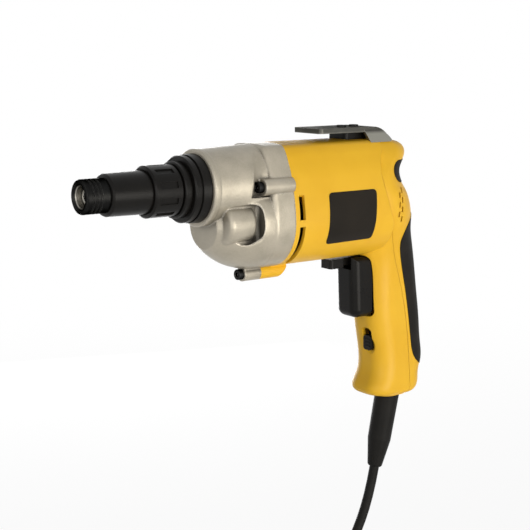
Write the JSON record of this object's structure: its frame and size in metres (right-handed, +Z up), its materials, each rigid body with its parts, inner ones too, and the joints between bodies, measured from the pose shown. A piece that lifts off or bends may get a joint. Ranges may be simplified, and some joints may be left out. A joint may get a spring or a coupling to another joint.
{
  "type": "drywall screwdriver",
  "caption": "Corded pistol-grip drywall screwdriver with a depth-setting nosepiece, push-to-drive clutch spindle, trigger, reversing lever and belt hook.",
  "frame": {"origin": "middle of the hand's hold inside the handle, behind the trigger", "axes": "+X from the nose to the back of the tool along the spindle, +Z up to the belt hook, +Y to the right of a person who holds it; the bare side plate is on the -Y side"},
  "size_m": [0.3155, 0.0669, 0.4972],
  "materials": {
    "yellow_plastic": "satin moulded",
    "black_plastic": "fine matte moulded",
    "black_rubber": "matte",
    "cast_alloy": "satin blasted",
    "black_steel": "black oxide",
    "steel": "satin",
    "bright_steel": "polished",
    "lamination": "stacked sheet",
    "copper": "enamelled wire",
    "bronze": "sintered",
    "plug_metal": "plated",
    "carbon": "pressed carbon"
  },
  "bodies": {
    "housing": {"motor_housing": "yellow_plastic", "rear_cover": "yellow_plastic", "name_plate": "black_plastic", "nose_ring": "black_plastic", "hook_spacer": "black_plastic", "cord_clamp": "black_plastic", "switch_body": "black_plastic", "brush_holders": "black_plastic", "grip_overmold": "black_rubber", "strain_relief": "black_rubber", "cord": "black_rubber", "cord_coil": "black_rubber", "plug_body": "black_rubber", "coil_tie": "black_rubber", "nose_o_ring": "black_rubber", "gear_case": "cast_alloy", "bearing_plate": "cast_alloy", "gear_case_screws": "black_steel", "rear_cover_screws": "black_steel", "cord_clamp_screws": "black_steel", "belt_hook": "steel", "hook_screws": "steel", "front_bearing": "steel", "rear_bearing": "steel", "brush_springs": "steel", "field_stator": "lamination", "field_coils": "copper", "spindle_bush": "bronze", "gear_bush": "bronze", "plug_pins": "plug_metal", "carbon_brushes": "carbon"},
    "armature": {"armature_shaft": "steel", "armature_core": "lamination", "armature_windings": "copper", "commutator": "copper", "cooling_fan": "black_plastic"},
    "gear": {"drive_gear": "steel"},
    "clutch_slider": {"thrust_washer": "steel"},
    "spindle": {"output_spindle": "steel", "bit_holder": "bright_steel", "holder_clip": "steel", "clutch_spring": "steel"},
    "nosepiece": {"nose_base": "black_plastic"},
    "depth_collar": {"depth_collar": "black_plastic"},
    "locator": {"locator_sleeve": "black_plastic", "locator_tip": "black_steel"},
    "trigger": {"trigger": "black_plastic"},
    "reverse_lever": {"reverse_lever": "black_plastic"},
    "lock_slide": {"lock_slide": "black_plastic"}
  },
  "joints": [
    {"name": "motor_spin", "type": "hinge", "parent": "housing", "child": "armature", "pos_m": [0, 0, 0.0735], "axis": [1, 0, 0], "continuous": true},
    {"name": "gear_spin", "type": "hinge", "parent": "housing", "child": "gear", "pos_m": [0, 0, 0.1], "axis": [1, 0, 0], "continuous": true},
    {"name": "spindle_push", "type": "slide", "parent": "housing", "child": "clutch_slider", "axis": [1, 0, 0], "range_m": [0, 0.0032], "stiffness_N_per_m": 1500, "springref_m": -0.002, "deforming": ["clutch_spring"]},
    {"name": "spindle_spin", "type": "hinge", "parent": "clutch_slider", "child": "spindle", "pos_m": [0, 0, 0.1], "axis": [1, 0, 0], "continuous": true},
    {"name": "nosepiece_pull", "type": "slide", "parent": "housing", "child": "nosepiece", "axis": [-1, 0, 0], "range_m": [0, 0.08]},
    {"name": "depth_turn", "type": "hinge", "parent": "nosepiece", "child": "depth_collar", "pos_m": [0, 0, 0.1], "axis": [1, 0, 0], "range_deg": [-180, 180]},
    {"name": "locator_slide", "type": "slide", "parent": "nosepiece", "child": "locator", "axis": [1, 0, 0], "range_m": [-0.004, 0.004]},
    {"name": "trigger_pull", "type": "slide", "parent": "housing", "child": "trigger", "axis": [1, 0, 0], "range_m": [0, 0.007], "stiffness_N_per_m": 500, "springref_m": -0.006},
    {"name": "reverse_swing", "type": "hinge", "parent": "housing", "child": "reverse_lever", "pos_m": [-0.026, 0, 0.0356], "axis": [0, 0, 1], "range_deg": [-12, 12]},
    {"name": "lock_push", "type": "slide", "parent": "housing", "child": "lock_slide", "axis": [0, 0, 1], "range_m": [0, 0.006]}
  ],
  "couplings": [
    {"joint": "gear_spin", "follows": "motor_spin", "ratio": -0.17778},
    {"joint": "spindle_spin", "follows": "motor_spin", "ratio": -0.17778},
    {"joint": "locator_slide", "follows": "depth_turn", "m_per_rad": 0.0012732}
  ]
}
